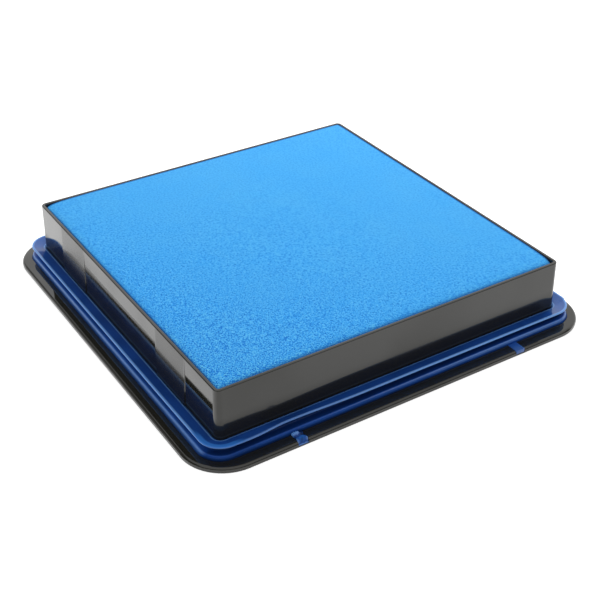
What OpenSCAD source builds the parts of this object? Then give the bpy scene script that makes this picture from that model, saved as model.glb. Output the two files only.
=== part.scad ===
// Air filter cassette: a moulded frame with a wide flange and a support grid, a soft double-lip
// seal round its foot, a pleated fine filter potted into the well and a foam pad laid over it.
// The origin lies under the middle of the frame, on the plane that the flange rests on.

/* [Frame] */
// Outer width of the square rim, across flats
rim_w = 150; // [120:1:180]
// Height of the rim above the underside of the flange
height = 26.1; // [23:0.1:40]
// Wall thickness at the rim
rim_t = 1.4; // [1.2:0.1:1.8]
// Outer draft of the walls, degrees
wall_draft = 1.4; // [0:0.1:2]
// Inner draft of the walls, degrees
core_draft = 0.4; // [0:0.1:0.6]
// Outer corner radius at the rim
corner_r = 2.2; // [2.1:0.1:6]
// Rounding of the rim's edges
rim_round = 0.4; // [0.1:0.05:0.6]

/* [Flange] */
// How far the flange reaches past the rim's outline
flange_reach = 11.9; // [10:0.1:20]
// Thickness of the flange
flange_t = 2; // [1.5:0.1:3]
// Corner radius of the flange
flange_corner_r = 17.2; // [10:0.1:25]
// Rounding of the flange's upper edge
flange_round = 1.1; // [0.2:0.1:1.2]
// Rounding of the flange's lower edge
flange_foot_round = 0.25; // [0.1:0.05:0.5]

/* [Guide pads] */
// Width of each guide pad on the side walls
pad_w = 21; // [10:0.5:30]
// Distance between the two pads of a wall, centre to centre
pad_spacing = 84; // [60:1:100]
// How far a pad stands out of the wall at its foot
pad_proud = 0.4; // [0.2:0.1:1]
// Height of a pad's foot above the seal
pad_clear = 0.3; // [0.2:0.1:2]

/* [Support grid] */
// Width of the ledge that carries the fine filter
ledge_w = 4; // [2:0.5:8]
// Height of the ledge and of the grid's upper face
ledge_h = 2.6; // [2:0.1:4]
// Corner radius of the opening inside the ledge
opening_r = 3; // [1:0.5:8]
// Largest distance between neighbouring bars
bar_pitch_max = 16; // [10:0.5:17]
// Width of a grid bar at its upper face
bar_w = 1.8; // [1.2:0.1:3]
// Width of a grid bar at its lower face
bar_foot_w = 1.3; // [1:0.1:2.5]
// Height of a grid bar's lower face above the flange's underside
bar_lift = 0.8; // [0.3:0.1:1.2]
// Width of the two main bars that cross in the middle
main_bar_w = 3; // [2:0.1:5]

/* [Lip seal] */
// Height of the seal's inner edge
leg_top = 6.1; // [5.8:0.1:6.6]
// Rounding of the inner edge
leg_r = 0.2; // [0.1:0.05:0.4]
// Room between the inner edge and the wall
leg_gap = 0.6; // [0.3:0.1:1]
// How far the sealing lip reaches past the rim's outline
lip_reach = 6.3; // [6:0.1:7.5]
// Height of the lip's highest point
lip_top = 7.4; // [7.2:0.1:8.5]
// Radius of the lip's rounded tip
lip_tip_r = 0.38; // [0.3:0.02:0.5]
// Radius of the groove under the lip
groove_r = 0.9; // [0.7:0.05:1]
// Distance of the groove's middle from the rim's outline
groove_at = 3.9; // [3.6:0.1:4.3]
// How far the lower bead reaches past the rim's outline
bead_reach = 6.4; // [6:0.1:7.5]
// Height of the lower bead
bead_top = 3.6; // [3.2:0.1:4]
// Rounding of the bead's outer shoulder
bead_r = 0.8; // [0.5:0.1:1]
// Room between the seal and the flange that it is moulded on to
bond_gap = 0.02; // [0.01:0.01:0.05]

/* [Gate tabs] */
// Distance between the two tabs that cross the front of the flange
tab_spacing = 97; // [60:1:110]
// Width of a tab
tab_w = 4.1; // [3:0.1:8]
// Thickness of the flange that is left under a tab's channel
tab_floor = 0.6; // [0.4:0.1:1]
// How far a tab stands out of its channel
tab_proud = 0.25; // [0.1:0.05:0.6]

/* [Foam pad] */
// Room between the foam pad and the walls
foam_gap = 0.3; // [0.2:0.05:1]
// Height of the pad's shoulder below the rim
foam_below_rim = 0; // [-0.5:0.1:2]
// Rise of the pad's crown over its shoulder
foam_crown = 0.6; // [0:0.1:2]
// Drop of the pad's edges
foam_edge_drop = 0.7; // [0.3:0.1:2]
// Length over which the edges roll off
foam_edge_roll = 1.6; // [0.8:0.1:4]
// Room between the pad and the threads under it
foam_seat = 0.2; // [0.1:0.1:0.5]

/* [Fine filter] */
// Distance between the walls and the pleated pack, filled by the potting rim
potting_w = 3.2; // [2.5:0.1:5]
// Rise of the potting where it wets the wall
potting_rise = 0.4; // [0.1:0.1:0.5]
// Height of the pleats
pleat_h = 10.6; // [7:0.1:12]
// Largest distance between neighbouring pleats
pleat_pitch_max = 5.6; // [4:0.1:8]
// Width of a pleat's tip, along the middle of the paper
pleat_tip_w = 1; // [0.8:0.1:1.4]
// Thickness of the filter paper
media_t = 0.6; // [0.3:0.1:0.8]
// Number of spacer threads on each face
thread_count = 5; // [2:1:8]
// Width of a spacer thread
thread_w = 1.6; // [1:0.1:3]
// Height of a thread over the pleats
thread_proud = 0.4; // [0.2:0.1:1]
// Depth to which a thread fills the pleats
thread_depth = 2.5; // [1:0.1:4]
// Room between bonded pieces
seat_gap = 0.03; // [0.01:0.01:0.1]

/* [Hidden] */
$fn = 96;

// Steps of a rounded outline, and of the foam pad's upper face
arc_steps = 7;
foam_steps = 24;

rim_half = rim_w / 2;
flange_half = rim_half + flange_reach;
pack_bottom = ledge_h + thread_proud + seat_gap;
pack_top = pack_bottom + pleat_h;
foam_bottom = pack_top + thread_proud + foam_seat;
foam_shoulder = height - foam_below_rim;
pad_foot = leg_top + pad_clear;

// Offset of the wall's two faces from the rim's outline at height z, outwards positive
function wall_out(z) = (height - z) * tan(wall_draft);
function wall_in(z) = -rim_t - (height - z) * tan(core_draft);

foam_half = rim_half + wall_in(foam_bottom) - foam_gap;
pack_half = rim_half + wall_in(ledge_h) - potting_w;
opening_half = rim_half + wall_in(0) - ledge_w;
bar_cells = ceil(2 * opening_half / bar_pitch_max / 2) * 2;
bar_pitch = 2 * opening_half / bar_cells;
pleat_count = floor(2 * (pack_half - seat_gap) / pleat_pitch_max);
pleat_pitch = 2 * (pack_half - seat_gap) / pleat_count;

// Points of an arc about c, from angle a0 to angle a1
function arc(c, r, a0, a1) =
    [for (i = [0 : arc_steps]) let (a = a0 + (a1 - a0) * i / arc_steps) c + r * [cos(a), sin(a)]];

// Direction of the normal of the line that touches two circles on the same side, and on opposite sides
function side_normal(from, r_from, to, r_to) =
    let (d = to - from) atan2(d[1], d[0]) + acos((r_from - r_to) / norm(d));
function cross_normal(from, r_from, to, r_to) =
    let (d = to - from) atan2(d[1], d[0]) + acos((r_from + r_to) / norm(d));

// Carries a profile, drawn outwards from the outline and up, round a square with rounded corners
module square_sweep(half, radius) {
    run = 2 * (half - radius);
    for (side = [0 : 3]) rotate(side * 90) {
        translate([half, 0, 0]) rotate([90, 0, 0]) linear_extrude(run, center = true) children();
        translate([half - radius, half - radius, 0])
            rotate_extrude(angle = 90) translate([radius, 0]) children();
    }
}

module centred_box(half_x, half_y, z0, z1) {
    translate([-half_x, -half_y, z0]) cube([2 * half_x, 2 * half_y, z1 - z0]);
}

// A square plate with rounded corners
module rounded_plate(half, radius, z0, z1) {
    straight = half - radius;
    centred_box(half, straight, z0, z1);
    centred_box(straight, half, z0, z1);
    for (x = [-straight, straight], y = [-straight, straight])
        translate([x, y, z0]) cylinder(r = radius, h = z1 - z0);
}

// Frame

module wall_profile() {
    top_in = [-rim_t + rim_round, height - rim_round];
    top_out = [-rim_round, height - rim_round];
    polygon(concat(
        [[wall_in(0), 0], [wall_out(0), 0]],
        arc(top_out, rim_round, 0, 90),
        arc(top_in, rim_round, 90, 180)
    ));
}

module flange_edge_profile() {
    upper = [-flange_round, flange_t - flange_round];
    lower = [-flange_foot_round, flange_foot_round];
    inner = -flange_round - flange_foot_round;
    polygon(concat(
        [[inner, 0]],
        arc(lower, flange_foot_round, -90, 0),
        arc(upper, flange_round, 0, 90),
        [[inner, flange_t]]
    ));
}

module flange_plate() {
    edge = flange_round + flange_foot_round;
    inner = rim_half + wall_in(0) / 2;
    square_sweep(flange_half, flange_corner_r) flange_edge_profile();
    difference() {
        rounded_plate(flange_half - edge, flange_corner_r - edge, 0, flange_t);
        centred_box(inner, inner, -flange_t, 2 * flange_t);
    }
}

module ledge() {
    outer = rim_half + wall_in(0) / 2;
    difference() {
        centred_box(outer, outer, 0, ledge_h);
        rounded_plate(opening_half, opening_r, -ledge_h, 2 * ledge_h);
    }
}

// A bar of the grid along y, tapered towards its lower face
module grid_bar(top_w, foot_w, foot_z) {
    reach = opening_half + ledge_w / 2;
    rotate([90, 0, 0]) linear_extrude(2 * reach, center = true)
        polygon([[-foot_w / 2, foot_z], [foot_w / 2, foot_z], [top_w / 2, ledge_h], [-top_w / 2, ledge_h]]);
}

module support_grid() {
    main_foot_w = main_bar_w - (bar_w - bar_foot_w);
    for (turn = [0, 90]) rotate(turn) {
        grid_bar(main_bar_w, main_foot_w, 0);
        for (i = [1 : bar_cells / 2 - 1], side = [-1, 1])
            translate([side * i * bar_pitch, 0, 0]) grid_bar(bar_w, bar_foot_w, bar_lift);
    }
}

// A guide pad: level with the wall at the rim, standing out towards its foot, with slanted sides
module guide_pad() {
    top = height - 2 * rim_round;
    root = wall_in(pad_foot) / 2;
    face = wall_out(pad_foot) + pad_proud;
    half_face = pad_w / 2;
    half_root = half_face + face - root;
    intersection() {
        rotate([90, 0, 0]) linear_extrude(2 * half_root, center = true)
            polygon([[root, pad_foot], [face, pad_foot], [wall_out(top), top], [root, top]]);
        linear_extrude(height)
            polygon([[root, -half_root], [face, -half_face], [face, half_face], [root, half_root]]);
    }
}

module tab_channel(reach_in, reach_out, floor_z, top_z, half_w) {
    for (x = [-tab_spacing, tab_spacing] / 2)
        translate([x - half_w, -rim_half - reach_out, floor_z])
            cube([2 * half_w, reach_out - reach_in, top_z - floor_z]);
}

module frame() {
    color("#17191c") difference() {
        union() {
            square_sweep(rim_half, corner_r) wall_profile();
            flange_plate();
            ledge();
            support_grid();
            for (turn = [0, 180], y = [-pad_spacing, pad_spacing] / 2)
                rotate(turn) translate([rim_half, y, 0]) guide_pad();
        }
        tab_channel(bead_reach, 2 * flange_reach, tab_floor, 2 * flange_t, tab_w / 2);
    }
}

// Lip seal

function seal_wall(z) = wall_out(z) + leg_gap;

module seal_profile() {
    base = flange_t + bond_gap;
    bead = [bead_reach, bead_top] - [bead_r, bead_r];
    groove = [groove_at, bead_top + groove_r];
    tip = [lip_reach - lip_tip_r, lip_top - lip_tip_r];
    leg_z = leg_top - leg_r;
    leg = [seal_wall(leg_z) + leg_r, leg_z];
    under = cross_normal(groove, groove_r, tip, lip_tip_r);
    over = side_normal(leg, leg_r, tip, lip_tip_r);
    polygon(concat(
        [[seal_wall(base), base], [bead_reach, base]],
        arc(bead, bead_r, 0, 90),
        arc(groove, groove_r, 270, under),
        arc(tip, lip_tip_r, under - 180, over),
        arc(leg, leg_r, over, 180)
    ));
}

module lip_seal() {
    color("#12347c") {
        square_sweep(rim_half, corner_r) seal_profile();
        half_w = tab_w / 2 - bond_gap;
        top_z = flange_t + tab_proud;
        tab_channel(bead_reach + bond_gap, flange_reach, tab_floor + bond_gap, top_z, half_w);
        tab_channel(bead_reach - bead_r, bead_reach + bead_r, flange_t + bond_gap, top_z, half_w);
    }
}

// Foam pad

// Height of the pad's upper face: crowned in the middle and rolled off along its edges
function foam_roll(d) = foam_edge_drop * exp(-d / foam_edge_roll);
function foam_top(x, y) =
    foam_shoulder + foam_crown * (1 - pow(x / foam_half, 2)) * (1 - pow(y / foam_half, 2))
    - foam_roll(foam_half - abs(x)) - foam_roll(foam_half - abs(y));

module foam_pad() {
    n = foam_steps;
    row = n + 1;
    function cell(i, j) = j * row + i;
    side = [for (i = [0 : n]) foam_half * sin(180 * i / n - 90)];
    edge = concat(
        [for (i = [0 : n - 1]) [i, 0]], [for (j = [0 : n - 1]) [n, j]],
        [for (i = [n : -1 : 1]) [i, n]], [for (j = [n : -1 : 1]) [0, j]]
    );
    ring = [for (e = edge) cell(e[0], e[1])];
    count = len(ring);
    foot = row * row;
    middle = foot + count;
    points = concat(
        [for (y = side, x = side) [x, y, foam_top(x, y)]],
        [for (e = edge) [side[e[0]], side[e[1]], foam_bottom]],
        [[0, 0, foam_bottom]]
    );
    faces = [
        for (j = [0 : n - 1], i = [0 : n - 1]) each [
            [cell(i, j), cell(i, j + 1), cell(i + 1, j + 1)],
            [cell(i, j), cell(i + 1, j + 1), cell(i + 1, j)]
        ],
        for (k = [0 : count - 1]) let (m = (k + 1) % count) each [
            [ring[k], ring[m], foot + m], [ring[k], foot + m, foot + k], [foot + k, foot + m, middle]
        ]
    ];
    color("#3aa0ee") polyhedron(points, faces);
}

// Fine filter

// One side of the pleated paper: shift is half its thickness, with the side's sign
function pleat_line(shift) =
    let (
        z0 = pack_bottom + media_t / 2,
        z1 = pack_top - media_t / 2,
        slope = atan2(z1 - z0, pleat_pitch / 2 - pleat_tip_w),
        spread = pleat_tip_w / 2 + shift * tan(slope / 2),
        gather = pleat_tip_w / 2 - shift * tan(slope / 2)
    )
    [for (k = [0 : pleat_count - 1])
        let (x = -pack_half + seat_gap + (k + 0.5) * pleat_pitch)
        each [
            [x - pleat_pitch / 2 + gather, z0 + shift], [x - spread, z1 + shift],
            [x + spread, z1 + shift], [x + pleat_pitch / 2 - gather, z0 + shift]
        ]
    ];

function backwards(list) = [for (i = [len(list) - 1 : -1 : 0]) list[i]];

module filter_pleats() {
    color("#e9e7df") rotate([90, 0, 0]) linear_extrude(2 * (pack_half - seat_gap), center = true)
        polygon(concat(pleat_line(-media_t / 2), backwards(pleat_line(media_t / 2))));
}

// Threads of hot melt across the pleats, which keep them apart like a comb: each fills the folds
// of one face, the upper one with side = 1 and the lower one with side = -1
module spacer_threads(side) {
    tip_z = side > 0 ? pack_top : pack_bottom;
    back_z = tip_z + side * thread_proud;
    root_z = tip_z - side * thread_depth;
    first = -pack_half + seat_gap + pleat_pitch / 2;
    pitch = 2 * pack_half / thread_count;
    for (k = [0 : thread_count - 1])
        translate([0, (k - (thread_count - 1) / 2) * pitch, 0])
            rotate([90, 0, 0]) linear_extrude(thread_w, center = true) intersection() {
                translate([first, min(back_z, root_z)]) square([-2 * first, abs(back_z - root_z)]);
                polygon(concat(
                    pleat_line(side * (media_t / 2 + seat_gap)),
                    [[pack_half, back_z], [-pack_half, back_z]]
                ));
            }
}

module upper_spacer_threads() {
    color("#d8d2bd") spacer_threads(1);
}

module lower_spacer_threads() {
    color("#d8d2bd") spacer_threads(-1);
}

// Potting between the pack and the walls, wetting the walls a little higher
module potting_rim() {
    foot_z = ledge_h + seat_gap;
    foot_edge = wall_in(ledge_h) - seat_gap;
    core_edge = (foot_edge - corner_r) / 2;
    core_half = rim_half + core_edge;
    strip_edge = (core_edge - corner_r) / 2;
    color("#cfc9b4") difference() {
        union() {
            square_sweep(rim_half, corner_r) polygon([
                [strip_edge, foot_z], [foot_edge, foot_z],
                [wall_in(pack_top) - seat_gap, pack_top + potting_rise], [strip_edge, pack_top]
            ]);
            centred_box(core_half, core_half, foot_z, pack_top);
        }
        centred_box(pack_half, pack_half, 0, height);
    }
}

frame();
lip_seal();
foam_pad();
filter_pleats();
upper_spacer_threads();
lower_spacer_threads();
potting_rim();
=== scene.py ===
"""Dresses a square air filter cassette: a glossy moulded frame, a soft double-lip seal, a foam pad
and a pleated fine filter, on a white studio table."""

import math

import bmesh
import bpy
from bpy.props import FloatProperty, FloatVectorProperty, IntProperty, PointerProperty
from bpy.types import Operator, Panel, PropertyGroup
from mathutils import Matrix, Vector, noise


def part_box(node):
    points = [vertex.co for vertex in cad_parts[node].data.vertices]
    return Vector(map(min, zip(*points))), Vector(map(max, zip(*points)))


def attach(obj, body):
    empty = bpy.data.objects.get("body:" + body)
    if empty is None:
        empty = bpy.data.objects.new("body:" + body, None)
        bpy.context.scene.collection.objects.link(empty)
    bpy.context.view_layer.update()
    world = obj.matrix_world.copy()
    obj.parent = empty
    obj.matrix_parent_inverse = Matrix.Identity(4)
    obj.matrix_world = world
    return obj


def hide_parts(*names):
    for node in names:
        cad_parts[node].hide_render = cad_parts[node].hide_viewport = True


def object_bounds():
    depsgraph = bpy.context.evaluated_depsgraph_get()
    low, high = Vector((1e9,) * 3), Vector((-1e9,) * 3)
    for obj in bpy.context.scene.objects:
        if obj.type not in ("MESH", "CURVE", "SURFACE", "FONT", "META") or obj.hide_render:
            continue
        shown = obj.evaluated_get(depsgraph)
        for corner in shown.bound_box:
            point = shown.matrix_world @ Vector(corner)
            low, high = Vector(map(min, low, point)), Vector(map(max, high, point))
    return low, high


bl_info = {
    "name": "Air Filter Cassette",
    "version": (1, 0, 0),
    "blender": (4, 5, 0),
    "location": "View3D > Sidebar > Cassette",
    "description": "Dresses the frame, seal, foam pad and fine filter of an air filter cassette",
    "category": "Object",
}

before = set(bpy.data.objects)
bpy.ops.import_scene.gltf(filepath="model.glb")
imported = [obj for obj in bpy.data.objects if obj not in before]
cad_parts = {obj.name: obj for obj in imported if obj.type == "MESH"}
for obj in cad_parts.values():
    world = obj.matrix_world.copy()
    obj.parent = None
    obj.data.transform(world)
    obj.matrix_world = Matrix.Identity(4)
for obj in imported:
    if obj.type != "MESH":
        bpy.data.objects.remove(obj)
CAD_LOW, CAD_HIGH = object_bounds()
FOAM_LOW, FOAM_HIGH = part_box("foam_pad")
RIM_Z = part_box("frame")[1].z

MM = 0.001
UP = Vector((0, 0, 1))
QUARTER = math.pi / 2
RIM_HALF = 75 * MM
MERGE = 0.001 * MM
TABLE_GAP = 0.05 * MM
SENSOR_MM = 36
FOAM_CORNER_POWER = 60

# Where the frame's finish changes, in metres: each band is a start and an end.
PAD_MIDDLE = 42 * MM
PAD_SIDE = (10.4 * MM, 10.8 * MM)
PAD_FACE = (74.6 * MM, 74.9 * MM)
PAD_FOOT = (5.6 * MM, 5.9 * MM)
WALL_FOOT = (2.5 * MM, 3 * MM)
WALL_MIDDLE = (11 * MM, 15 * MM)
FRONT_WALL = (-74.6 * MM, -74 * MM)
SEAM_Z = 0.95 * MM
SEAM_SIDE = (0.05 * MM, 0.13 * MM)
SEAM_DEPTH = 0.025 * MM

# Bands over which the seal's painted light and shade change, in metres. The near corner's runs along
# its diagonal.
SEAL_FRONT = (RIM_HALF - 2 * MM, RIM_HALF + 2 * MM)
NEAR_CORNER = (146 * MM, 152 * MM)
FAR_SIDE = (68.5 * MM, 71.5 * MM)
FAR_END = (60 * MM, 68 * MM)
LIP_FACE = (-0.35 * MM, -0.15 * MM)

# Bands over which the foam's looks change, in metres: its grit and its painted light towards the
# back, and its painted shade along the walls. The first runs along the pad's diagonal.
FOAM_NEAR = (-140 * MM, 40 * MM)
FOAM_FRONT_SHADE = (71.2 * MM, 73.4 * MM)
FOAM_EDGE_SHADE = (72.3 * MM, 73.4 * MM)

# Parts of the crumpled tab as shares of its length: middle and half width, or start and end.
INNER_LUMP = (0.28, 0.16)
OUTER_LUMP = (0.78, 0.15)
TAB_NECK = (0.52, 0.14)
TAB_CURL = (0.85, 1.0)
# Where the crumpled tab is painted with light: a pale lobe and a brighter blue lobe as painted
# light, and hems as painted highlights.
PALE_LOBE = (0.22, 0.18)
LIT_THROUGH_LOBE = (0.74, 0.16)
HEM_SIDES = (0.55, 0.65)
HEM_END = 0.94


def length(name, description, default):
    """A property that holds a length in metres, given in millimetres."""
    return FloatProperty(
        name=name, description=description, default=default * MM, unit="LENGTH", precision=5
    )


def angle(name, description, default):
    """A property that holds an angle, given in degrees."""
    return FloatProperty(
        name=name, description=description, default=math.radians(default), unit="ROTATION"
    )


def number(name, description, default):
    """A property that holds a plain number."""
    return FloatProperty(name=name, description=description, default=default)


def count(name, description, default):
    """A property that holds a whole number."""
    return IntProperty(name=name, description=description, default=default)


def spot(name, description, default):
    """A property that holds a place, in metres."""
    return FloatVectorProperty(
        name=name, description=description, default=default, subtype="TRANSLATION", unit="LENGTH"
    )


def colour(name, description, default):
    """A property that holds a linear colour."""
    return FloatVectorProperty(name=name, description=description, default=default, subtype="COLOR")


class SealSizes(PropertyGroup):
    """The lip seal's section, measured outwards from the rim's outline and up, and its flaws."""

    corner_r: length("Corner radius", "Corner radius of the rim that the seal follows", 2.2)
    draft: angle("Draft", "Slope of the wall that the seal is moulded on to", 1.4)
    gap: length("Gap", "Room between the seal's inner edge and the wall", 0.6)
    bond: length("Bond", "Room between the seal's foot and the wall", 0.02)
    gap_depth: length("Gap depth", "Depth of the gap beside the seal's inner edge", 0.35)
    foot_z: length("Foot height", "Height of the seal's underside on the flange", 2.02)
    leg_top: length("Inner height", "Height of the seal's inner edge", 6.1)
    leg_r: length("Inner radius", "Rounding of the seal's inner edge", 0.2)
    lip_reach: length("Lip reach", "How far the sealing lip reaches", 6.3)
    lip_top: length("Lip height", "Height of the lip's highest point", 7.4)
    lip_tip_r: length("Lip tip radius", "Radius of the lip's rounded tip", 0.38)
    groove_r: length("Groove radius", "Radius of the groove under the lip", 0.9)
    groove_at: length("Groove place", "Distance of the groove's middle from the outline", 3.9)
    bead_reach: length("Bead reach", "How far the lower bead reaches", 6.4)
    bead_top: length("Bead height", "Height of the lower bead", 3.6)
    bead_r: length("Bead radius", "Rounding of the bead's outer shoulder", 0.8)
    toe: length("Toe", "How far the bead's foot spreads beyond the bead", 0.6)
    sag_at: length("Sag place", "Where the front lip sags, along x", -66.0)
    sag: length("Sag", "Depth of the sag in the front lip", 0.25)
    sag_w: length("Sag width", "Half width of the sag", 7.0)
    pinch_at: length("Pinch place", "Where the front lip is drawn in, along x", -51.0)
    pinch: length("Pinch", "How far the front lip is drawn in", 0.9)
    pinch_w: length("Pinch width", "Half width of the pinch towards the sag", 8.0)
    pinch_tail: length("Pinch tail", "Half width of the pinch away from the sag", 20.0)
    droop: length("Droop", "How far the front lip hangs at its right end", 0.35)
    ripple: length("Ripple", "Height of the slight ripple round the whole lip", 0.1)
    ripple_w: length("Ripple width", "Width of the ripple's waves", 22.0)
    # Widths over which the painted highlights along the lip's edges and the bead's shoulder fade.
    edge_glow: length("Edge glow", "Width over which the paler edges of the lip fade", 0.3)
    bead_glow: length("Bead glow", "Width over which the paler shoulder of the bead fades", 0.7)
    # Strength of the brighter blue painted round the near corner, standing in for light through the
    # stretched lip.
    near_lit_through: number("Near stretch", "How taut the lip is round its near corner", 0.9)
    # Strength of the painted light on the lip round the far corners.
    far_light: number("Far stretch", "How pale the lip is round its other corners", 0.27)
    side_steps: count("Side steps", "Sections along each side", 180)
    corner_steps: count("Corner steps", "Sections round each corner", 20)
    arc_steps: count("Arc steps", "Points along each round of the section", 8)
    face_steps: count("Face steps", "Points across the lip's upper face", 20)


class TabSizes(PropertyGroup):
    """The two gate tabs that cross the front of the flange."""

    spacing: length("Spacing", "Distance between the two tabs", 97.0)
    width: length("Width", "Width of a tab", 4.0)
    inner: length("Inner end", "Where a tab leaves the bead, from the rim's outline", 6.0)
    outer: length("Outer end", "Where a tab ends, from the rim's outline", 11.85)
    foot_z: length("Foot height", "Height of the channel's floor under a tab", 0.65)
    top_z: length("Top height", "Height of a tab's upper face", 2.25)
    edge_r: length("Edge radius", "Rounding of a tab's edges", 0.2)
    neck_w: length("Neck", "Width of the crumpled tab's neck", 3.2)
    lump: length("Lump", "Height of the crumpled tab's two lumps", 0.55)
    crease: length("Crease", "Depth of the crumpled tab's creases", 0.5)
    crease_w: length("Crease width", "Distance between the crumpled tab's creases", 1.1)
    # Strength of the painted glow on the clean tab's outer end.
    glow: number("Glow", "Paleness of the clean tab's outer end", 0.22)
    steps: count("Steps", "Cells along the crumpled tab", 32)


class FoamSizes(PropertyGroup):
    """The foam pad's upper face and edges: it sits a little deeper at the front and on the left."""

    crown: length("Crown", "Rise of the middle over the shoulder", 0.6)
    snug: length("Snug", "How much wider the pad is than its plain solid", 0.2)
    front_drop: length("Front drop", "Drop of the front edge", 1.3)
    left_drop: length("Left drop", "Drop of the left edge", 0.9)
    far_drop: length("Far drop", "Drop of the back and right edges", 0.05)
    edge_roll: length("Edge roll", "Length over which the edges roll off", 1.7)
    corner_drop: length("Corner drop", "Further drop of the corners", 0.7)
    corner_roll: length("Corner roll", "Length over which the corners drop", 7.0)
    corner_in: length("Corner", "How far the corners are drawn in", 0.4)
    swell: length("Swell", "Height of the soft unevenness of the upper face", 0.12)
    swell_w: length("Swell width", "Width of the soft unevenness", 14.0)
    steps: count("Steps", "Cells along each side of the upper face", 240)
    depth_steps: count("Depth steps", "Cells down each side", 12)


class Finishes(PropertyGroup):
    """Colours of the materials, among them the painted light and shade of the seal and the foam, and
    the polished walls' slight warp.
    """

    frame_black: colour("Frame", "Polished black plastic", (0.0145, 0.014, 0.0095))
    dust_grey: colour("Dust", "Specks of dust on the frame", (0.04, 0.04, 0.045))
    wall_bow: length("Wall bow", "How far the side walls' middles are drawn in at the rim", 0.5)
    seal_blue: colour("Seal", "Soft translucent blue rubber", (0.011, 0.062, 0.295))
    # Painted glow and painted highlights of the seal's edges, standing in for light through the
    # rubber and its shine.
    seal_glow: colour("Seal edge", "The seal where it is thin and lit through", (0.16, 0.38, 0.86))
    # Brighter blue painted where the rubber is stretched thin, standing in for light passing through
    # it.
    seal_lit_through: colour("Stretched seal", "The seal where it is stretched", (0.04, 0.21, 0.7))
    foam_azure: colour("Foam", "Fine open-cell foam at the back", (0.079, 0.447, 0.9))
    # The foam's tone in front, painted deeper as shade; towards the back it is painted paler as
    # light.
    foam_front_shade: colour("Foam pores", "The foam's deeper tone in front", (0.02, 0.36, 1.0))
    # Painted shade in the foam's pits.
    foam_pit: colour("Foam pits", "Shaded pits of the foam", (0.01, 0.18, 0.68))
    # Painted highlights on the foam's specks.
    foam_glint: colour("Foam glints", "Bright specks of the foam", (0.14, 0.6, 1.0))
    # Painted shade where the foam rolls down to the walls.
    foam_edge_shade: colour("Foam edge", "The foam where it meets the walls", (0.005, 0.085, 0.36))
    paper_white: colour("Filter paper", "Pleated filter paper", (0.8, 0.79, 0.74))
    paper_fibre: colour("Filter fibres", "Fibres of the filter paper", (0.6, 0.585, 0.53))
    melt_cream: colour("Spacer threads", "Drawn threads of hot melt", (0.68, 0.64, 0.5))
    potting_cream: colour("Potting", "Poured potting", (0.62, 0.58, 0.46))


class StudioSizes(PropertyGroup):
    """Camera, lamp, surroundings and table."""

    camera_place: spot(
        "Camera place", "Where the camera stands", (-209.495 * MM, -336.129 * MM, 255.941 * MM)
    )
    heading: angle("Heading", "Turn of the view to the right of the +Y axis", 32.583)
    tilt: angle("Tilt", "How far the camera looks down", 33.533)
    roll: angle("Roll", "Turn of the camera about its own axis", 0.053)
    lens_mm: number("Lens", "Focal length on a 36 mm sensor, mm", 68.724)
    table_half: length("Table", "Half width of the table", 3000)
    table_glow: number("Table glow", "Glow of the table to the eye", 0.7)
    table_gleam: number("Table gleam", "Glow of the table in gloss", 0.63)
    sky_fill: number("Sky", "Strength of the surroundings as light", 0.66)
    sky_gleam: number("Sky gleam", "Strength of the dim sky in gloss", 0.1)
    key_place: spot("Key place", "Where the lamp hangs", (0.25, 0.25, 0.3))
    key_size: length("Key size", "Width of the lamp", 500)
    key_power: FloatProperty(
        name="Key lamp", description="Power of the lamp", default=1.5, unit="POWER"
    )


class CassetteSettings(PropertyGroup):
    """All settings of the cassette's looks."""

    seal: PointerProperty(type=SealSizes)
    tabs: PointerProperty(type=TabSizes)
    foam: PointerProperty(type=FoamSizes)
    finishes: PointerProperty(type=Finishes)
    studio: PointerProperty(type=StudioSizes)


class Wire:
    """A shader socket that takes part in Python arithmetic: each operator adds a Math node."""

    def __init__(self, tree, socket=None):
        self.tree = tree
        self.socket = socket

    def node(self, kind, settings=None, inputs=None, output=0):
        """Adds a node, sets it up, feeds its sockets with values or wires, and gives one output."""
        made = self.tree.nodes.new(kind)
        for name, value in (settings or {}).items():
            setattr(made, name, value)
        for name, value in (inputs or {}).items():
            if isinstance(value, Wire):
                self.tree.links.new(value.socket, made.inputs[name])
            else:
                made.inputs[name].default_value = value
        return Wire(self.tree, made.outputs[output])

    def math(self, operation, *values):
        return self.node("ShaderNodeMath", {"operation": operation}, dict(enumerate(values)))

    def __add__(self, other):
        return self.math("ADD", self, other)

    __radd__ = __add__

    def __mul__(self, other):
        return self.math("MULTIPLY", self, other)

    __rmul__ = __mul__

    def __sub__(self, other):
        return self.math("SUBTRACT", self, other)

    def __rsub__(self, other):
        return self.math("SUBTRACT", other, self)

    def __abs__(self):
        return self.math("ABSOLUTE", self)

    def maximum(self, other):
        return self.math("MAXIMUM", self, other)

    def band(self, low, high, low_value=0.0, high_value=1.0):
        """Maps low..high smoothly to low_value..high_value, and stays there beyond."""
        source = {"Value": self, "From Min": low, "From Max": high}
        return self.node(
            "ShaderNodeMapRange",
            {"interpolation_type": "SMOOTHSTEP"},
            source | {"To Min": low_value, "To Max": high_value},
        )


def opaque(shade, gain=1.0):
    """A linear colour times gain, as a socket takes it, with its alpha."""
    return (*(gain * part for part in shade), 1.0)


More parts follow.
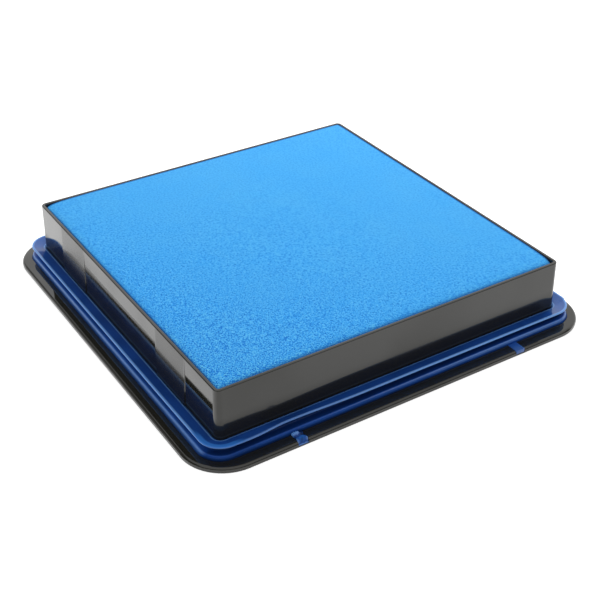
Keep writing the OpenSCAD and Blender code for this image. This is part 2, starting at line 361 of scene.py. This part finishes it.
class MaterialBuild:
    """A new material with its node tree, and the few patterns that the finishes share."""

    def __init__(self, name):
        self.material = bpy.data.materials.new(name)
        self.material.use_nodes = True
        self.tree = self.material.node_tree
        self.tree.nodes.clear()
        self.start = Wire(self.tree)
        self.place = self.start.node("ShaderNodeTexCoord", output="Object")

    def noise(self, size, detail=2.0, roughness=0.5):
        """Noise whose patches are about size metres wide."""
        inputs = {"Vector": self.place, "Scale": 1 / size, "Detail": detail, "Roughness": roughness}
        return self.start.node("ShaderNodeTexNoise", inputs=inputs)

    def cells(self, size):
        """Distance to the nearest of points that lie about size metres apart, smoothed."""
        return self.start.node(
            "ShaderNodeTexVoronoi",
            {"feature": "SMOOTH_F1"},
            {"Vector": self.place, "Scale": 1 / size, "Smoothness": 0.35},
        )

    def axis(self, name):
        return self.start.node("ShaderNodeSeparateXYZ", inputs={"Vector": self.place}, output=name)

    def blend(self, factor, first, second):
        """Colour first where factor is 0 and second where it is 1."""
        inputs = {"Factor": factor, "A": first, "B": second}
        return self.start.node("ShaderNodeMix", {"data_type": "RGBA"}, inputs, "Result")

    def attribute(self, name):
        """A number that each vertex of the piece holds."""
        return self.start.node("ShaderNodeAttribute", {"attribute_name": name}, output="Fac")

    def bump(self, height, distance, strength=1.0):
        inputs = {"Height": height, "Distance": distance, "Strength": strength}
        return self.start.node("ShaderNodeBump", inputs=inputs)

    def finish(self, **inputs):
        """Ends in a Principled shader: keyword names are its sockets, with _ for a blank."""
        sockets = {name.replace("_", " "): value for name, value in inputs.items()}
        shader = self.start.node("ShaderNodeBsdfPrincipled", inputs=sockets)
        return self.surface(shader)

    def surface(self, shader):
        self.start.node("ShaderNodeOutputMaterial", inputs={"Surface": shader}, output=slice(0))
        return self.material


def frame_plastic(finishes):
    """Polished black plastic, duller on the guide pads, the walls' foot and the front wall.
    The walls were drawn in a little as they cooled, and a seam runs round the flange."""
    build = MaterialBuild("frame_plastic")
    x, y, z = (build.axis(name) for name in "XYZ")
    cloud = build.noise(45 * MM, 2.0)
    dust = build.noise(0.8 * MM, 1.0).band(0.7, 0.8)
    pad = abs(abs(y) - PAD_MIDDLE).band(*PAD_SIDE, 1.0, 0.0)
    pad = pad * abs(x).band(*PAD_FACE) * z.band(*PAD_FOOT)
    foot = z.band(*WALL_FOOT) * z.band(*WALL_MIDDLE, 1.0, 0.0)
    polish = cloud.band(0.4, 0.7, 0.7, 0.3) * (1 - pad * 0.45)
    along = y * (1 / RIM_HALF)
    warp = (1 - along * along).maximum(0.0) * (z * (1 / RIM_Z)) * -finishes.wall_bow
    seam = abs(z - SEAM_Z).band(*SEAM_SIDE, -SEAM_DEPTH, 0.0)
    return build.finish(
        Base_Color=build.blend(dust * 0.2, opaque(finishes.frame_black), opaque(finishes.dust_grey)),
        Roughness=cloud.band(0.3, 0.7, 0.03, 0.1) + pad * 0.07 + foot * 0.05,
        IOR=1.5,
        Coat_Weight=polish * (1 - foot) * y.band(*FRONT_WALL, 0.5, 1.0),
        Coat_Roughness=0.03,
        Coat_IOR=1.5,
        Normal=build.bump(warp + seam, 1.0),
    )


def seal_rubber(finishes):
    """Soft blue rubber: deep where it is thick, with painted glow and painted highlights along its
    edges, painted shade under the lip, and a brighter blue painted where light passes through the
    stretched lip.
    """
    build = MaterialBuild("seal_rubber")
    shade = finishes.seal_blue
    cloud = build.noise(9 * MM, 3.0).band(0.3, 0.7)
    # Vertex paint of the seal's painted light and shade, and of its brighter blue painted as light
    # through the stretched lip.
    light_and_shade, lit_through = (build.attribute(name) for name in ("light_and_shade", "lit_through"))
    tone = build.blend(cloud, opaque(shade), opaque(shade, 1.3))
    # Painted shade: where the vertex paint is below zero, under the lip and on the torn tab, the
    # rubber is painted darker.
    tone = build.blend(light_and_shade.band(-0.25, 0.0), opaque(shade, 0.3), tone)
    # Painted glow and painted highlights where the vertex paint is above zero.
    tone = build.blend(light_and_shade, tone, opaque(finishes.seal_glow))
    return build.finish(
        # Brighter blue painted where the rubber is stretched thin, as light passing through it; the
        # coat is weaker there.
        Base_Color=build.blend(lit_through, tone, opaque(finishes.seal_lit_through)),
        Roughness=cloud.band(0, 1, 0.1, 0.2),
        Specular_IOR_Level=0.0,
        # The coat follows the painted light, so the painted highlights also shine.
        Coat_Weight=light_and_shade.band(0.0, 0.15, 0.25, 1.0) * (1 - lit_through * 0.7),
        Coat_Roughness=0.08,
        Normal=build.bump(build.noise(4 * MM, 1.0), 0.01 * MM),
    )


def foam_skin(finishes):
    """Fine open-cell foam: gritty in front, with painted shade in its pits and painted highlights on
    its specks, paler at the back as painted light, and painted shade where it meets the walls.
    """
    build = MaterialBuild("foam_skin")
    x, y = build.axis("X"), build.axis("Y")
    fine, soft = build.noise(0.5 * MM, 1.5), build.noise(0.85 * MM, 1.0)
    cloud = build.noise(18 * MM, 2.0).band(0.3, 0.7, -0.06, 0.06)
    near = (x + y).band(*FOAM_NEAR, 1.0, 0.0)
    grit = fine * near + soft * (1 - near)
    # Painted shade in the pits, standing in for the shading of the foam's cells.
    pits = grit.band(0.33, 0.52, 1.0, 0.0) * (near * 0.92 + 0.23)
    # Painted highlights on the foam's specks.
    glints = grit.band(0.5, 0.64) * (near * 0.8 + 0.15)
    # Painted shade along the walls, widest along the front; it darkens the colour below.
    front = (y * -1).band(*FOAM_FRONT_SHADE)
    edge = abs(x).maximum(y).band(*FOAM_EDGE_SHADE).maximum(front)
    # Painted light and shade: the foam is painted paler towards the back, where the lamp falls, and
    # deeper in front.
    back = cloud + 0.8 - near * 0.42
    tone = build.blend(back, opaque(finishes.foam_front_shade), opaque(finishes.foam_azure))
    tone = build.blend(pits, tone, opaque(finishes.foam_pit))
    tone = build.blend(glints, tone, opaque(finishes.foam_glint))
    return build.finish(
        Base_Color=build.blend(edge * 0.9, tone, opaque(finishes.foam_edge_shade)),
        Roughness=0.9,
        Specular_IOR_Level=0.25,
        Normal=build.bump(grit * (near + 0.8), 0.3 * MM, 0.7),
    )


def filter_paper(shade, fibre_shade):
    """Stiff filter paper with fine fibres."""
    build = MaterialBuild("filter_paper")
    fibre = build.noise(0.5 * MM, 4.0, 0.7)
    base = build.blend(fibre.band(0.35, 0.7, 0.0, 0.35), opaque(shade), opaque(fibre_shade))
    return build.finish(Base_Color=base, Roughness=0.85, Normal=build.bump(fibre, 0.06 * MM, 0.6))


def hot_melt(shade):
    """Drawn hot melt: satin, slightly lumpy."""
    build = MaterialBuild("hot_melt")
    lumps = build.noise(2.2 * MM, 2.0)
    base = build.blend(lumps.band(0.3, 0.7), opaque(shade), opaque(shade, 0.85))
    return build.finish(
        Base_Color=base,
        Roughness=lumps.band(0.3, 0.7, 0.3, 0.45),
        Subsurface_Weight=0.2,
        Subsurface_Scale=1.0 * MM,
        Normal=build.bump(lumps, 0.15 * MM, 0.7),
    )


def potting(shade):
    """Poured potting: satin, with slow waves and a few pin holes, their shade painted in."""
    build = MaterialBuild("potting")
    wave = build.noise(7 * MM, 2.0)
    pins = build.cells(4 * MM).band(0.06, 0.14, 1.0, 0.0)
    # Painted shade in the pin holes.
    base = build.blend(pins * 0.5, opaque(shade), opaque(shade, 0.5))
    height = wave - pins * 0.5
    return build.finish(Base_Color=base, Roughness=0.4, Normal=build.bump(height, 0.2 * MM, 0.6))


def dress(node, material):
    """Gives a node of the frame its material."""
    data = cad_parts[node].data
    data.materials.clear()
    data.materials.append(material)


def new_piece(name, shape, material, body):
    """Makes a piece from a bmesh, which it frees, and lets it ride on a body."""
    bmesh.ops.recalc_face_normals(shape, faces=shape.faces)
    data = bpy.data.meshes.new(name)
    shape.to_mesh(data)
    shape.free()
    data.materials.append(material)
    data.shade_smooth()
    piece = bpy.data.objects.new(name, data)
    bpy.context.scene.collection.objects.link(piece)
    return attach(piece, body)


def edges_of(geometry):
    return [part for part in geometry if isinstance(part, bmesh.types.BMEdge)]


def verts_of(geometry):
    return [part for part in geometry if isinstance(part, bmesh.types.BMVert)]


def smooth_step(value):
    value = min(1.0, max(0.0, value))
    return value * value * (3 - 2 * value)


def ramp(value, start, end):
    """Goes smoothly from 0 at start to 1 at end, and stays there beyond."""
    return smooth_step((value - start) / (end - start))


def hump(value, middle, width):
    """1 at middle, with a smooth fall to about a third at width from it."""
    return math.exp(-(((value - middle) / width) ** 2))


def arc(centre, radius, first, last, steps):
    """Points of an arc about centre from angle first to angle last, in radians."""
    turns = (first + (last - first) * step / steps for step in range(steps + 1))
    return [centre + radius * Vector((math.cos(turn), math.sin(turn))) for turn in turns]


def touch_normal(start, end, gain):
    """Direction of the normal of a line that touches two circles, gain being the radii it joins."""
    span = end - start
    return math.atan2(span.y, span.x) + math.acos(gain / span.length)


def seal_centres(sizes):
    """Centres of the rounds of the seal's section."""
    def wall(height, room):
        return Vector(((RIM_Z - height) * math.tan(sizes.draft) + room, height))

    leg = wall(sizes.leg_top - sizes.leg_r, sizes.gap + sizes.leg_r)
    floor = sizes.leg_top - sizes.gap_depth
    return {
        "gap": Vector((leg.x - sizes.leg_r, floor)),
        "web": wall(floor, sizes.bond),
        "foot": wall(sizes.foot_z, sizes.bond),
        "toe": Vector((sizes.bead_reach + sizes.toe, sizes.foot_z)),
        "bead": Vector((sizes.bead_reach - sizes.bead_r, sizes.bead_top - sizes.bead_r)),
        "groove": Vector((sizes.groove_at, sizes.bead_top + sizes.groove_r)),
        "tip": Vector((sizes.lip_reach - sizes.lip_tip_r, sizes.lip_top - sizes.lip_tip_r)),
        "leg": leg,
    }


def seal_section(sizes):
    """Outline of the seal's section: bead, groove, lip and inner edge, joined by tangents."""
    at = seal_centres(sizes)
    under = touch_normal(at["groove"], at["tip"], sizes.groove_r + sizes.lip_tip_r)
    over = touch_normal(at["leg"], at["tip"], sizes.leg_r - sizes.lip_tip_r)
    rising = touch_normal(at["bead"], at["toe"], sizes.bead_r)
    steps = sizes.arc_steps
    tip = arc(at["tip"], sizes.lip_tip_r, under - math.pi, over, steps)
    leg = arc(at["leg"], sizes.leg_r, over, math.pi, steps)
    shares = (step / sizes.face_steps for step in range(1, sizes.face_steps))
    return [
        at["foot"],
        at["toe"],
        *arc(at["bead"], sizes.bead_r, rising, QUARTER, steps),
        *arc(at["groove"], sizes.groove_r, 3 * QUARTER, under, steps),
        *tip,
        *(tip[-1].lerp(leg[0], share) for share in shares),
        *leg,
        at["gap"],
        at["web"],
    ]


def lip_share(sizes, at, point):
    """How much a point of the section follows the lip: 0 at its root and 1 at its tip."""
    if point.y < at["groove"].y:
        return 0.0
    return ramp(point.x, at["leg"].x, sizes.lip_reach)


def lip_drift(sizes, place):
    """How far the lip's tip stands from its plain place."""
    drift = UP * sizes.ripple * noise.noise(place / sizes.ripple_w)
    if place.y < -RIM_HALF:
        pinch_w = sizes.pinch_w if place.x < sizes.pinch_at else sizes.pinch_tail
        drift.y += sizes.pinch * hump(place.x, sizes.pinch_at, pinch_w)
        drift.z -= sizes.sag * hump(place.x, sizes.sag_at, sizes.sag_w)
        drift.z -= sizes.droop * ramp(place.x, 0.0, RIM_HALF)
    return drift


def sweep_seal(shape, sizes):
    """Carries the section round the rim by straight and turning spins, and closes the ring."""
    straight = RIM_HALF - sizes.corner_r
    ring = [
        shape.verts.new((RIM_HALF + point.x, -straight, point.y)) for point in seal_section(sizes)
    ]
    loop = [shape.edges.new((a, b)) for a, b in zip(ring, ring[1:] + ring[:1])]
    for side in range(4):
        turn = Matrix.Rotation(side * QUARTER, 3, "Z")
        step = turn @ Vector((0, 2 * straight / sizes.side_steps, 0))
        made = bmesh.ops.spin(
            shape, geom=loop, axis=UP, dvec=step, angle=0, steps=sizes.side_steps
        )
        made = bmesh.ops.spin(
            shape,
            geom=edges_of(made["geom_last"]),
            cent=turn @ Vector((straight, straight, 0)),
            axis=UP,
            angle=QUARTER,
            steps=sizes.corner_steps,
        )
        loop = edges_of(made["geom_last"])
    bmesh.ops.remove_doubles(shape, verts=shape.verts, dist=MERGE)


def on_lip(sizes, at, point, start=-1.0):
    """1 on the lip's upper face, past the share of its width that start gives, and 0 elsewhere."""
    share = (point.x - at["leg"].x) / (at["tip"].x - at["leg"].x)
    face = sizes.leg_top + share * (sizes.lip_top - sizes.leg_top)
    return ramp(point.y - face, *LIP_FACE) * ramp(share, start, start + 0.2)


def paleness(sizes, at, place, point):
    """Painted light and shade of the seal: painted highlights along the lip's tip, its inner edge
    and the bead's shoulder, and painted light on the lip round a far corner, where the lamp reaches
    it. Painted shade dims the front side towards its left end and darkens it below the lip."""
    front = ramp(-place.y, *SEAL_FRONT)
    # Painted shade on the front side, which the wall keeps from the lamp: strongest at its left end.
    front_shade = front * (0.8 - 0.75 * ramp(place.x, -RIM_HALF, RIM_HALF))
    shoulder = at["bead"] + sizes.bead_r * Vector((0.7, 0.7))
    from_tip = (point - at["tip"]).length - sizes.lip_tip_r
    from_leg = (point - at["leg"]).length - sizes.leg_r
    from_bead = (point - shoulder).length
    # Painted light round the far corners, where the lamp behind reaches the lip.
    far = ramp(max(place.x, place.y), *FAR_SIDE) * ramp(min(abs(place.x), abs(place.y)), *FAR_END)
    pale = smooth_step(max(
        (1 - 0.7 * front_shade) * (1.05 - from_tip / sizes.edge_glow),
        0.9 * (1 - from_leg / sizes.edge_glow),
        (1 - 0.75 * front_shade) * 0.55 * (1.2 - from_bead / sizes.bead_glow),
        on_lip(sizes, at, point) * sizes.far_light * far,
    ))
    # Painted shade below the lip on the front side.
    return pale if point.y > sizes.leg_top else pale - 0.2 * front * (1 - pale)


def bend_lip(shape, sizes, light_and_shade, lit_through):
    """Paints the seal's light and shade, and the brighter blue where light passes through the
    stretched lip, and lets the lip wander from its plain place.
    """
    straight = RIM_HALF - sizes.corner_r
    at = seal_centres(sizes)
    for vert in shape.verts:
        across = Vector((max(0, abs(vert.co.x) - straight), max(0, abs(vert.co.y) - straight)))
        point = Vector((across.length - sizes.corner_r, vert.co.z))
        near = ramp(-vert.co.x - vert.co.y, *NEAR_CORNER)
        # Painted light and shade of the seal.
        vert[light_and_shade] = paleness(sizes, at, vert.co, point)
        # Brighter blue painted round the near corner, standing in for light through the stretched
        # lip.
        vert[lit_through] = sizes.near_lit_through * near * on_lip(sizes, at, point, 0.5)
        vert.co += lip_share(sizes, at, point) * lip_drift(sizes, vert.co)


def add_tab(shape, sizes, middle, light_and_shade):
    """Adds a clean gate tab that crosses the front of the flange at x = middle."""
    low = Vector((middle - sizes.width / 2, -RIM_HALF - sizes.outer, sizes.foot_z))
    high = Vector((middle + sizes.width / 2, -RIM_HALF - sizes.inner, sizes.top_z))
    made = bmesh.ops.create_cube(shape, size=1)
    bmesh.ops.scale(shape, vec=high - low, verts=made["verts"])
    bmesh.ops.translate(shape, vec=(low + high) / 2, verts=made["verts"])
    edges = list({edge for vert in made["verts"] for edge in vert.link_edges})
    made = bmesh.ops.bevel(
        shape, geom=edges, offset=sizes.edge_r, affect="EDGES", segments=3, profile=0.5, material=-1
    )
    for vert in made["verts"]:
        # Painted glow that grows towards the tab's outer end.
        vert[light_and_shade] = sizes.glow * ramp(vert.co.y, high.y, low.y)


def crumpled_height(sizes, place, share, side):
    """Height of the crumpled tab: two creased lumps and a dip between, curled down at its end."""
    lumps = hump(share, *INNER_LUMP) + 0.8 * hump(share, *OUTER_LUMP)
    crease = 1 - abs(noise.noise(place / sizes.crease_w)) * 3
    curl = ramp(share, *TAB_CURL) * (sizes.top_z - sizes.foot_z + sizes.lump)
    rise = sizes.lump * lumps * (1 - 0.5 * side * side) + sizes.crease * crease * (1 - side**4)
    return max(sizes.foot_z + sizes.edge_r, sizes.top_z + rise - curl)


def add_crumpled_tab(shape, sizes, middle, light_and_shade, lit_through):
    """Adds the torn gate tab: a film with a narrow neck, drawn down to the channel's floor."""
    made = bmesh.ops.create_grid(
        shape, x_segments=sizes.steps // 2, y_segments=sizes.steps, size=0.5
    )
    verts = made["verts"]
    edges = {edge for vert in verts for edge in vert.link_edges}
    rim = [edge for edge in edges if edge.is_boundary]
    for vert in verts:
        share = 0.5 - vert.co.y
        side = 2 * vert.co.x
        width = sizes.width - (sizes.width - sizes.neck_w) * hump(share, *TAB_NECK)
        place = Vector((middle + side * width / 2, -RIM_HALF - sizes.inner, 0))
        place.y -= share * (sizes.outer - sizes.inner)
        place.z = crumpled_height(sizes, place, share, side)
        vert.co = place
        # Painted light on the film: a pale inner lobe, a brighter blue outer lobe as light through
        # it, bright hems as painted highlights, and painted light and shade along the creases.
        inner = hump(share, *PALE_LOBE) * ramp(side, 0.5, -0.2)
        outer = hump(share, *LIT_THROUGH_LOBE) * max(0.0, 1 - side**2)
        hem = max(abs(side) ** 5 * ramp(share, *HEM_SIDES), float(share > HEM_END))
        crease = 0.3 * noise.noise(place / sizes.crease_w)
        vert[light_and_shade] = 1.6 * inner + 0.8 * hem + 0.25 * outer - 0.25 + crease
        vert[lit_through] = 0.55 * outer + 0.2 * inner
    made = bmesh.ops.extrude_edge_only(shape, edges=rim)
    for vert in verts_of(made["geom"]):
        vert.co.z = min(sizes.foot_z, vert.co.z - sizes.edge_r)
        vert[light_and_shade] = 0.0
    bmesh.ops.contextual_create(shape, geom=edges_of(made["geom"]))


def foam_height(sizes, half, shoulder, x, y):
    """Height of the pad's upper face: crowned in the middle and rolled off along its edges."""
    def roll(drop, inwards, reach):
        return drop * math.exp(-inwards / reach)

    crown = sizes.crown * max(0, 1 - (x / half) ** 2) * max(0, 1 - (y / half) ** 2)
    edges = roll(sizes.front_drop, half + y, sizes.edge_roll)
    edges += roll(sizes.left_drop, half + x, sizes.edge_roll)
    edges += roll(sizes.far_drop, half - y, sizes.edge_roll)
    edges += roll(sizes.far_drop, half - x, sizes.edge_roll)
    for corner_x, corner_y in ((-1, -1), (-1, 1), (1, -1)):
        away = math.hypot(corner_x * half - x, corner_y * half - y)
        edges += roll(sizes.corner_drop, away, sizes.corner_roll)
    return shoulder + crown - edges


def shape_foam(shape, sizes):
    """A crowned sheet of cells, drawn down to the pad's flat underside."""
    half = FOAM_HIGH.x + sizes.snug
    shoulder = FOAM_HIGH.z - sizes.crown
    bmesh.ops.create_grid(shape, x_segments=sizes.steps, y_segments=sizes.steps, size=half)
    rim = [edge for edge in shape.edges if edge.is_boundary]
    for vert in shape.verts:
        x, y = vert.co.x, vert.co.y
        corner = sizes.corner_in * (abs(x * y) / half**2) ** FOAM_CORNER_POWER
        swell = sizes.swell * noise.noise(Vector((x, y, 0)) / sizes.swell_w)
        fade = ramp(half - max(abs(x), abs(y)), 0.0, 4 * sizes.edge_roll)
        vert.co.z = foam_height(sizes, half, shoulder, x, y) + min(0.0, swell) * fade
        vert.co.x -= math.copysign(corner, x)
        vert.co.y -= math.copysign(corner, y)
    for step in range(sizes.depth_steps):
        made = bmesh.ops.extrude_edge_only(shape, edges=rim)
        rim = edges_of(made["geom"])
        left = sizes.depth_steps - step
        for vert in verts_of(made["geom"]):
            vert.co.z += (FOAM_LOW.z - vert.co.z) / left
    bmesh.ops.contextual_create(shape, geom=rim)


class CASSETTE_OT_frame(Operator):
    """Gives the moulded frame its polished plastic"""

    bl_idname = "cassette.frame"
    bl_label = "Finish Frame"

    def execute(self, context):
        dress("frame", frame_plastic(context.scene.cassette.finishes))
        return {"FINISHED"}


class CASSETTE_OT_seal(Operator):
    """Moulds the lip seal with its wavering lip and its two gate tabs"""

    bl_idname = "cassette.seal"
    bl_label = "Mould Seal"

    def execute(self, context):
        settings = context.scene.cassette
        tabs = settings.tabs
        shape = bmesh.new()
        # Layers for the seal's painted light and shade, and for its brighter blue painted as light
        # through the stretched lip.
        light_and_shade, lit_through = (shape.verts.layers.float.new(name) for name in ("light_and_shade", "lit_through"))
        sweep_seal(shape, settings.seal)
        bend_lip(shape, settings.seal, light_and_shade, lit_through)
        add_crumpled_tab(shape, tabs, -tabs.spacing / 2, light_and_shade, lit_through)
        add_tab(shape, tabs, tabs.spacing / 2, light_and_shade)
        seal = new_piece("soft_seal", shape, seal_rubber(settings.finishes), "cassette")
        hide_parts("lip_seal")
        return {"FINISHED"}


class CASSETTE_OT_foam(Operator):
    """Lays the crowned foam pad into the frame"""

    bl_idname = "cassette.foam"
    bl_label = "Lay Foam Pad"

    def execute(self, context):
        settings = context.scene.cassette
        shape = bmesh.new()
        shape_foam(shape, settings.foam)
        pad = new_piece("washable_foam", shape, foam_skin(settings.finishes), "foam_pad")
        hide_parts("foam_pad")
        return {"FINISHED"}


class CASSETTE_OT_fine_filter(Operator):
    """Gives the pleats, the spacer threads and the potting their materials"""

    bl_idname = "cassette.fine_filter"
    bl_label = "Finish Fine Filter"

    def execute(self, context):
        finishes = context.scene.cassette.finishes
        dress("filter_pleats", filter_paper(finishes.paper_white, finishes.paper_fibre))
        melt = hot_melt(finishes.melt_cream)
        dress("upper_spacer_threads", melt)
        dress("lower_spacer_threads", melt)
        dress("potting_rim", potting(finishes.potting_cream))
        return {"FINISHED"}


def ray_kinds(start):
    """Three wires that are 1 for what the eye sees directly, in gloss, and through clear pieces."""
    eye = start.node("ShaderNodeLightPath", output="Is Camera Ray")
    outputs = eye.socket.node.outputs
    gloss = Wire(start.tree, outputs["Is Glossy Ray"])
    clear = Wire(start.tree, outputs["Is Transmission Ray"])
    return eye, gloss, clear


def table_white(glow, gleam):
    """A white table that keeps shadows, glows a little where it is seen and is clear from below."""
    build = MaterialBuild("table_white")
    start = build.start
    eye, gloss, clear = ray_kinds(start)
    paint = start.node("ShaderNodeBsdfDiffuse", inputs={"Color": (0.8, 0.8, 0.8, 1)})
    strength = eye.maximum(clear) * glow + gloss * gleam
    light = start.node("ShaderNodeEmission", inputs={"Strength": strength})
    top = start.node("ShaderNodeAddShader", inputs={0: paint, 1: light})
    below = start.node("ShaderNodeNewGeometry", output="Backfacing")
    through = start.node("ShaderNodeBsdfTransparent")
    return build.surface(start.node("ShaderNodeMixShader", inputs={0: below, 1: top, 2: through}))


def white_room(fill, gleam):
    """White surroundings: weaker as light, and in gloss bright only at the back and overhead."""
    world = bpy.data.worlds.new("white_room")
    world.use_nodes = True
    tree = world.node_tree
    tree.nodes.clear()
    start = Wire(tree)
    eye, gloss, clear = ray_kinds(start)
    towards = start.node("ShaderNodeTexCoord", output="Generated")
    split = {"Vector": towards}
    x, y, z = (start.node("ShaderNodeSeparateXYZ", inputs=split, output=name) for name in "XYZ")
    low_back = z.band(0.35, 0.5, 1.0, 0.0) * y.band(-0.3, 0.1) * x.band(-0.75, -0.5)
    right_back = (x * 0.8 + y * 0.6).band(0.4, 0.6)
    overhead = (z - y * 0.25).band(0.55, 0.7)
    bright = low_back.maximum(right_back).maximum(overhead)
    mirrored = bright * (1 - gleam) + gleam
    strength = fill + eye.maximum(clear) * (1 - fill) + gloss * (mirrored - fill)
    light = start.node("ShaderNodeBackground", inputs={"Color": (1, 1, 1, 1), "Strength": strength})
    start.node("ShaderNodeOutputWorld", inputs={"Surface": light}, output=slice(0))
    return world


def add_table(studio):
    """Lays the white table just under the part."""
    shape = bmesh.new()
    bmesh.ops.create_grid(shape, x_segments=1, y_segments=1, size=studio.table_half)
    bmesh.ops.translate(shape, vec=(0, 0, CAD_LOW.z - TABLE_GAP), verts=shape.verts)
    data = bpy.data.meshes.new("table")
    shape.to_mesh(data)
    shape.free()
    data.materials.append(table_white(studio.table_glow, studio.table_gleam))
    table = bpy.data.objects.new("table", data)
    bpy.context.scene.collection.objects.link(table)


def add_lamp(name, place, size, power):
    """A square soft lamp that faces the middle of the table."""
    data = bpy.data.lights.new(name, "AREA")
    data.size = size
    data.energy = power
    lamp = bpy.data.objects.new(name, data)
    lamp.location = place
    lamp.rotation_euler = Vector(place).to_track_quat("Z", "Y").to_euler()
    lamp.visible_glossy = False
    bpy.context.scene.collection.objects.link(lamp)


def add_camera(studio):
    """Sets up the camera that was fitted to the rim and the flange."""
    data = bpy.data.cameras.new("camera")
    data.lens = studio.lens_mm
    data.sensor_width = SENSOR_MM
    data.clip_start = 10 * MM
    forward = Vector((
        math.sin(studio.heading) * math.cos(studio.tilt),
        math.cos(studio.heading) * math.cos(studio.tilt),
        -math.sin(studio.tilt),
    ))
    level = Vector((math.cos(studio.heading), -math.sin(studio.heading), 0))
    above = level.cross(forward)
    right = level * math.cos(studio.roll) + above * math.sin(studio.roll)
    up = above * math.cos(studio.roll) - level * math.sin(studio.roll)
    camera = bpy.data.objects.new("camera", data)
    turn = Matrix((right, up, -forward)).transposed().to_4x4()
    camera.matrix_world = Matrix.Translation(Vector(studio.camera_place)) @ turn
    bpy.context.scene.collection.objects.link(camera)
    bpy.context.scene.camera = camera


class CASSETTE_OT_studio(Operator):
    """Sets the white table, the soft light and the camera"""

    bl_idname = "cassette.studio"
    bl_label = "Set Studio"

    def execute(self, context):
        studio = context.scene.cassette.studio
        context.scene.view_settings.view_transform = "Standard"
        context.scene.world = white_room(studio.sky_fill, studio.sky_gleam)
        add_table(studio)
        add_lamp("key", studio.key_place, studio.key_size, studio.key_power)
        add_camera(studio)
        return {"FINISHED"}


class CASSETTE_PT_panel(Panel):
    """Lists the steps that dress the cassette"""

    bl_idname = "CASSETTE_PT_panel"
    bl_label = "Air Filter Cassette"
    bl_space_type = "VIEW_3D"
    bl_region_type = "UI"
    bl_category = "Cassette"

    def draw(self, context):
        for step in STEPS:
            self.layout.operator(step.bl_idname)


STEPS = (
    CASSETTE_OT_frame,
    CASSETTE_OT_seal,
    CASSETTE_OT_foam,
    CASSETTE_OT_fine_filter,
    CASSETTE_OT_studio,
)
CLASSES = (
    SealSizes,
    TabSizes,
    FoamSizes,
    Finishes,
    StudioSizes,
    CassetteSettings,
    *STEPS,
    CASSETTE_PT_panel,
)


def register():
    for item in CLASSES:
        bpy.utils.register_class(item)
    bpy.types.Scene.cassette = PointerProperty(type=CassetteSettings)


def unregister():
    del bpy.types.Scene.cassette
    for item in reversed(CLASSES):
        bpy.utils.unregister_class(item)


def main():
    register()
    bpy.ops.cassette.frame()
    bpy.ops.cassette.seal()
    bpy.ops.cassette.foam()
    bpy.ops.cassette.fine_filter()
    bpy.ops.cassette.studio()


if __name__ == "__main__":
    main()
